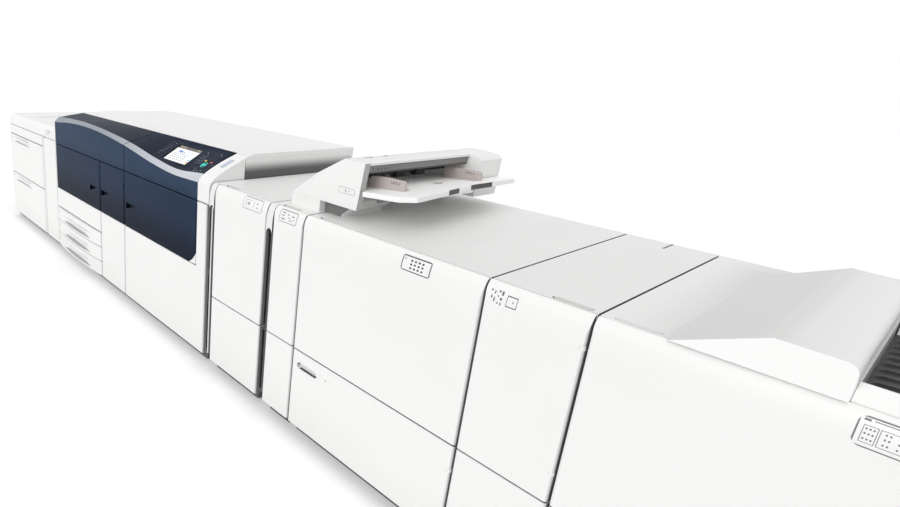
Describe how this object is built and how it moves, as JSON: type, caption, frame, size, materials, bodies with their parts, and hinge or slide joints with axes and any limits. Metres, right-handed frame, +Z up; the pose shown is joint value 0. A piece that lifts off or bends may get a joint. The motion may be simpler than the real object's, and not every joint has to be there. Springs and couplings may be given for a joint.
{
  "type": "digital production printer",
  "caption": "Floor-standing production printing line: paper feeder, print engine with navy doors and touch console, bridge, sheet inserter, stacker, folder and finisher.",
  "frame": {"origin": "centre of the line's footprint, on the floor under the levelling feet", "axes": "+X along the line from the feeder to the finisher, +Y from the front faces to the back, +Z up"},
  "size_m": [6.327, 1.022, 1.239],
  "materials": {
    "white_panel": "satin",
    "top_cover_grey": "satin",
    "frame_grey": "satin",
    "navy_cover": "satin gloss",
    "silver_trim": "metallic satin",
    "switch_grey": "satin",
    "screen_glass": "gloss",
    "key_turquoise": "gloss",
    "key_red": "gloss",
    "key_yellow": "gloss",
    "dark_plastic": "satin",
    "green_plastic": "satin",
    "sheet_steel": "brushed",
    "guide_plastic": "satin",
    "roller_rubber": "matte",
    "base_grey": "satin"
  },
  "bodies": {
    "root": {"feeder_frame": "frame_grey", "feeder_top_cover": "white_panel", "feeder_header": "white_panel", "feeder_column_cover": "white_panel", "engine_frame": "frame_grey", "engine_side_covers": "white_panel", "engine_roof_covers": "top_cover_grey", "engine_left_end": "white_panel", "engine_right_end": "white_panel", "console_cover": "navy_cover", "trim_band_right": "silver_trim", "engine_lower_panels": "white_panel", "touch_screen": "screen_glass", "toner_cartridges": "dark_plastic", "drum_units": "dark_plastic", "fuser_unit": "frame_grey", "interface_frame": "frame_grey", "bridge_frame": "frame_grey", "stacker_frame": "frame_grey", "folder_frame": "frame_grey", "finisher_frame": "frame_grey", "finisher_top_cover": "top_cover_grey", "finisher_rail": "white_panel", "finisher_output_tray": "dark_plastic", "top_covers": "top_cover_grey", "lower_front_panels": "white_panel", "inserter_base": "white_panel", "inserter_near_pod": "white_panel", "inserter_far_pod": "white_panel", "inserter_tray": "white_panel", "levelling_feet": "sheet_steel", "plinths_and_rear_covers": "base_grey"},
    "feeder_upper_drawer": {"feeder_upper_drawer": "white_panel"},
    "feeder_lower_drawer": {"feeder_lower_drawer": "white_panel"},
    "paper_drawer_1": {"paper_drawer_1": "white_panel"},
    "paper_drawer_2": {"paper_drawer_2": "white_panel"},
    "paper_drawer_3": {"paper_drawer_3": "white_panel"},
    "left_door": {"left_door": "navy_cover"},
    "middle_door": {"middle_door": "navy_cover"},
    "right_door": {"right_door": "navy_cover"},
    "toner_hood": {"toner_hood": "navy_cover", "trim_band_left": "silver_trim"},
    "interface_door": {"interface_door": "white_panel"},
    "bridge_door": {"bridge_door": "white_panel"},
    "stacker_upper_door": {"stacker_upper_door": "white_panel"},
    "stacker_lower_door": {"stacker_lower_door": "white_panel"},
    "folder_door": {"folder_door": "white_panel"},
    "finisher_door": {"finisher_door": "white_panel"},
    "stacker_platform": {"stacker_platform": "sheet_steel"},
    "start_button": {"start_button": "key_turquoise"},
    "stop_button": {"stop_button": "key_red"},
    "clear_button": {"clear_button": "key_yellow"},
    "power_switch": {"power_switch": "switch_grey"},
    "transfer_lever": {"transfer_lever": "green_plastic"},
    "fuser_knob": {"fuser_knob": "green_plastic"},
    "feed_roller": {"feed_roller": "roller_rubber"},
    "inserter_head": {"inserter_head": "white_panel"},
    "tray_extension": {"tray_extension": "guide_plastic"},
    "near_guide": {"near_guide": "guide_plastic"},
    "far_guide": {"far_guide": "guide_plastic"}
  },
  "joints": [
    {"name": "feeder_upper_drawer_slide", "type": "slide", "parent": "root", "child": "feeder_upper_drawer", "axis": [0, -1, 0], "range_m": [0, 0.6]},
    {"name": "feeder_lower_drawer_slide", "type": "slide", "parent": "root", "child": "feeder_lower_drawer", "axis": [0, -1, 0], "range_m": [0, 0.6]},
    {"name": "paper_drawer_1_slide", "type": "slide", "parent": "root", "child": "paper_drawer_1", "axis": [0, -1, 0], "range_m": [0, 0.45]},
    {"name": "paper_drawer_2_slide", "type": "slide", "parent": "root", "child": "paper_drawer_2", "axis": [0, -1, 0], "range_m": [0, 0.45]},
    {"name": "paper_drawer_3_slide", "type": "slide", "parent": "root", "child": "paper_drawer_3", "axis": [0, -1, 0], "range_m": [0, 0.45]},
    {"name": "left_door_hinge", "type": "hinge", "parent": "root", "child": "left_door", "pos_m": [-1.8755, -0.478, 0.645], "axis": [0, 0, -1], "range_deg": [0, 90]},
    {"name": "middle_door_hinge", "type": "hinge", "parent": "root", "child": "middle_door", "pos_m": [-0.6745, -0.478, 0.645], "axis": [0, 0, 1], "range_deg": [0, 90]},
    {"name": "right_door_hinge", "type": "hinge", "parent": "root", "child": "right_door", "pos_m": [0.1805, -0.478, 0.645], "axis": [0, 0, 1], "range_deg": [0, 90]},
    {"name": "toner_hood_hinge", "type": "hinge", "parent": "root", "child": "toner_hood", "pos_m": [-1.8875, -0.26, 1.109], "axis": [-1, 0, 0], "range_deg": [0, 60]},
    {"name": "interface_door_hinge", "type": "hinge", "parent": "root", "child": "interface_door", "pos_m": [0.3625, -0.478, 0.511], "axis": [0, 0, -1], "range_deg": [0, 90]},
    {"name": "bridge_door_hinge", "type": "hinge", "parent": "root", "child": "bridge_door", "pos_m": [0.8085, -0.478, 0.511], "axis": [0, 0, -1], "range_deg": [0, 90]},
    {"name": "stacker_upper_door_hinge", "type": "hinge", "parent": "root", "child": "stacker_upper_door", "pos_m": [0.9955, -0.478, 0.511], "axis": [0, 0, -1], "range_deg": [0, 90]},
    {"name": "stacker_lower_door_hinge", "type": "hinge", "parent": "root", "child": "stacker_lower_door", "pos_m": [1.7565, -0.478, 0.15], "axis": [0, 0, 1], "range_deg": [0, 90]},
    {"name": "folder_door_hinge", "type": "hinge", "parent": "root", "child": "folder_door", "pos_m": [2.0525, -0.478, 0.511], "axis": [0, 0, 1], "range_deg": [0, 90]},
    {"name": "finisher_door_hinge", "type": "hinge", "parent": "root", "child": "finisher_door", "pos_m": [3.1525, -0.478, 0.511], "axis": [0, 0, 1], "range_deg": [0, 90]},
    {"name": "stacker_platform_lift", "type": "slide", "parent": "root", "child": "stacker_platform", "axis": [0, 0, 1], "range_m": [0, 0.25]},
    {"name": "start_button_press", "type": "slide", "parent": "root", "child": "start_button", "axis": [0, 0.477, -0.8789], "range_m": [0, 0.0025], "stiffness_N_per_m": 200},
    {"name": "stop_button_press", "type": "slide", "parent": "root", "child": "stop_button", "axis": [0, 0.4651, -0.8852], "range_m": [0, 0.0025], "stiffness_N_per_m": 200},
    {"name": "clear_button_press", "type": "slide", "parent": "root", "child": "clear_button", "axis": [0, 0.4886, -0.8725], "range_m": [0, 0.0025], "stiffness_N_per_m": 200},
    {"name": "power_switch_press", "type": "slide", "parent": "root", "child": "power_switch", "axis": [0, 0.3934, -0.9194], "range_m": [0, 0.003], "stiffness_N_per_m": 300},
    {"name": "transfer_lever_turn", "type": "hinge", "parent": "root", "child": "transfer_lever", "pos_m": [-0.8485, -0.429, 0.74], "axis": [0, 1, 0], "range_deg": [0, 80]},
    {"name": "fuser_knob_turn", "type": "hinge", "parent": "root", "child": "fuser_knob", "pos_m": [-0.3405, -0.449, 0.76667], "axis": [0, -1, 0], "continuous": true},
    {"name": "feed_roller_turn", "type": "hinge", "parent": "root", "child": "feed_roller", "pos_m": [1.0565, 0.008, 1.15774], "axis": [0, 1, 0], "continuous": true},
    {"name": "inserter_head_hinge", "type": "hinge", "parent": "root", "child": "inserter_head", "pos_m": [0.9745, 0.008, 1.16756], "axis": [0, -1, 0], "range_deg": [0, 50]},
    {"name": "tray_extension_slide", "type": "slide", "parent": "root", "child": "tray_extension", "axis": [0.9962, 0, 0.0872], "range_m": [0, 0.12]},
    {"name": "near_guide_slide", "type": "slide", "parent": "root", "child": "near_guide", "axis": [0, 1, 0], "range_m": [0, 0.18]},
    {"name": "far_guide_slide", "type": "slide", "parent": "root", "child": "far_guide", "axis": [0, -1, 0], "range_m": [0, 0.18]}
  ],
  "couplings": [
    {"joint": "far_guide_slide", "follows": "near_guide_slide", "ratio": 1}
  ]
}
